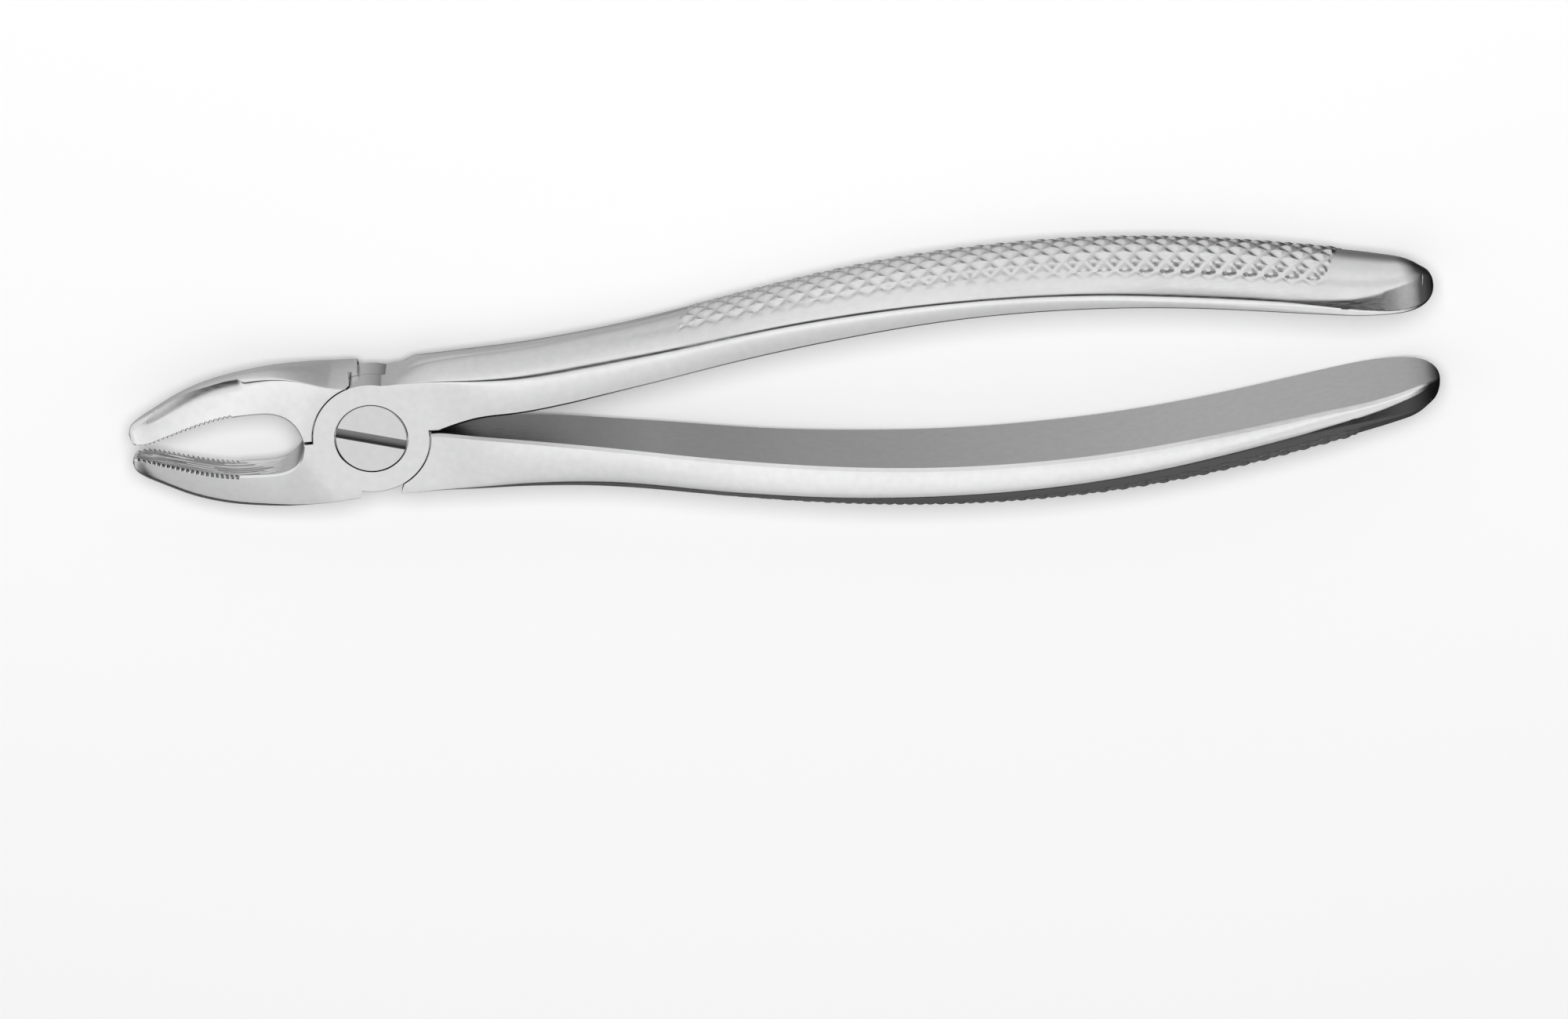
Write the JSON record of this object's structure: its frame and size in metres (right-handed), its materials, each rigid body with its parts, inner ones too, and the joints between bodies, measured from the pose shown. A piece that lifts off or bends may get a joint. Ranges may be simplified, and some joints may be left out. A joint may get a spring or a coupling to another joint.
{
  "type": "extraction forceps",
  "caption": "Pivoted dental extraction forceps with hollow serrated beaks, a screwed lap joint and curved handles with knurled backs.",
  "frame": {"origin": "on the pivot axis, at the joint's rear face, where the screw's end is flush", "axes": "+X along the midline towards the handles' ends (the beaks point along -X), +Z along the pivot axis towards the screw's head, +Y towards the front half's handle"},
  "size_m": [0.175, 0.0364, 0.0148],
  "materials": {
    "forged_steel": "satin polished stainless steel",
    "screw_steel": "turned and ground stainless steel"
  },
  "bodies": {
    "rear": {"rear_half": "forged_steel", "pivot_screw": "screw_steel"},
    "front": {"front_half": "forged_steel"}
  },
  "joints": [
    {"name": "pivot", "type": "hinge", "parent": "rear", "child": "front", "pos_m": [0, 0, 0.0038], "axis": [0, 0, 1], "range_deg": [-1, 23]}
  ]
}
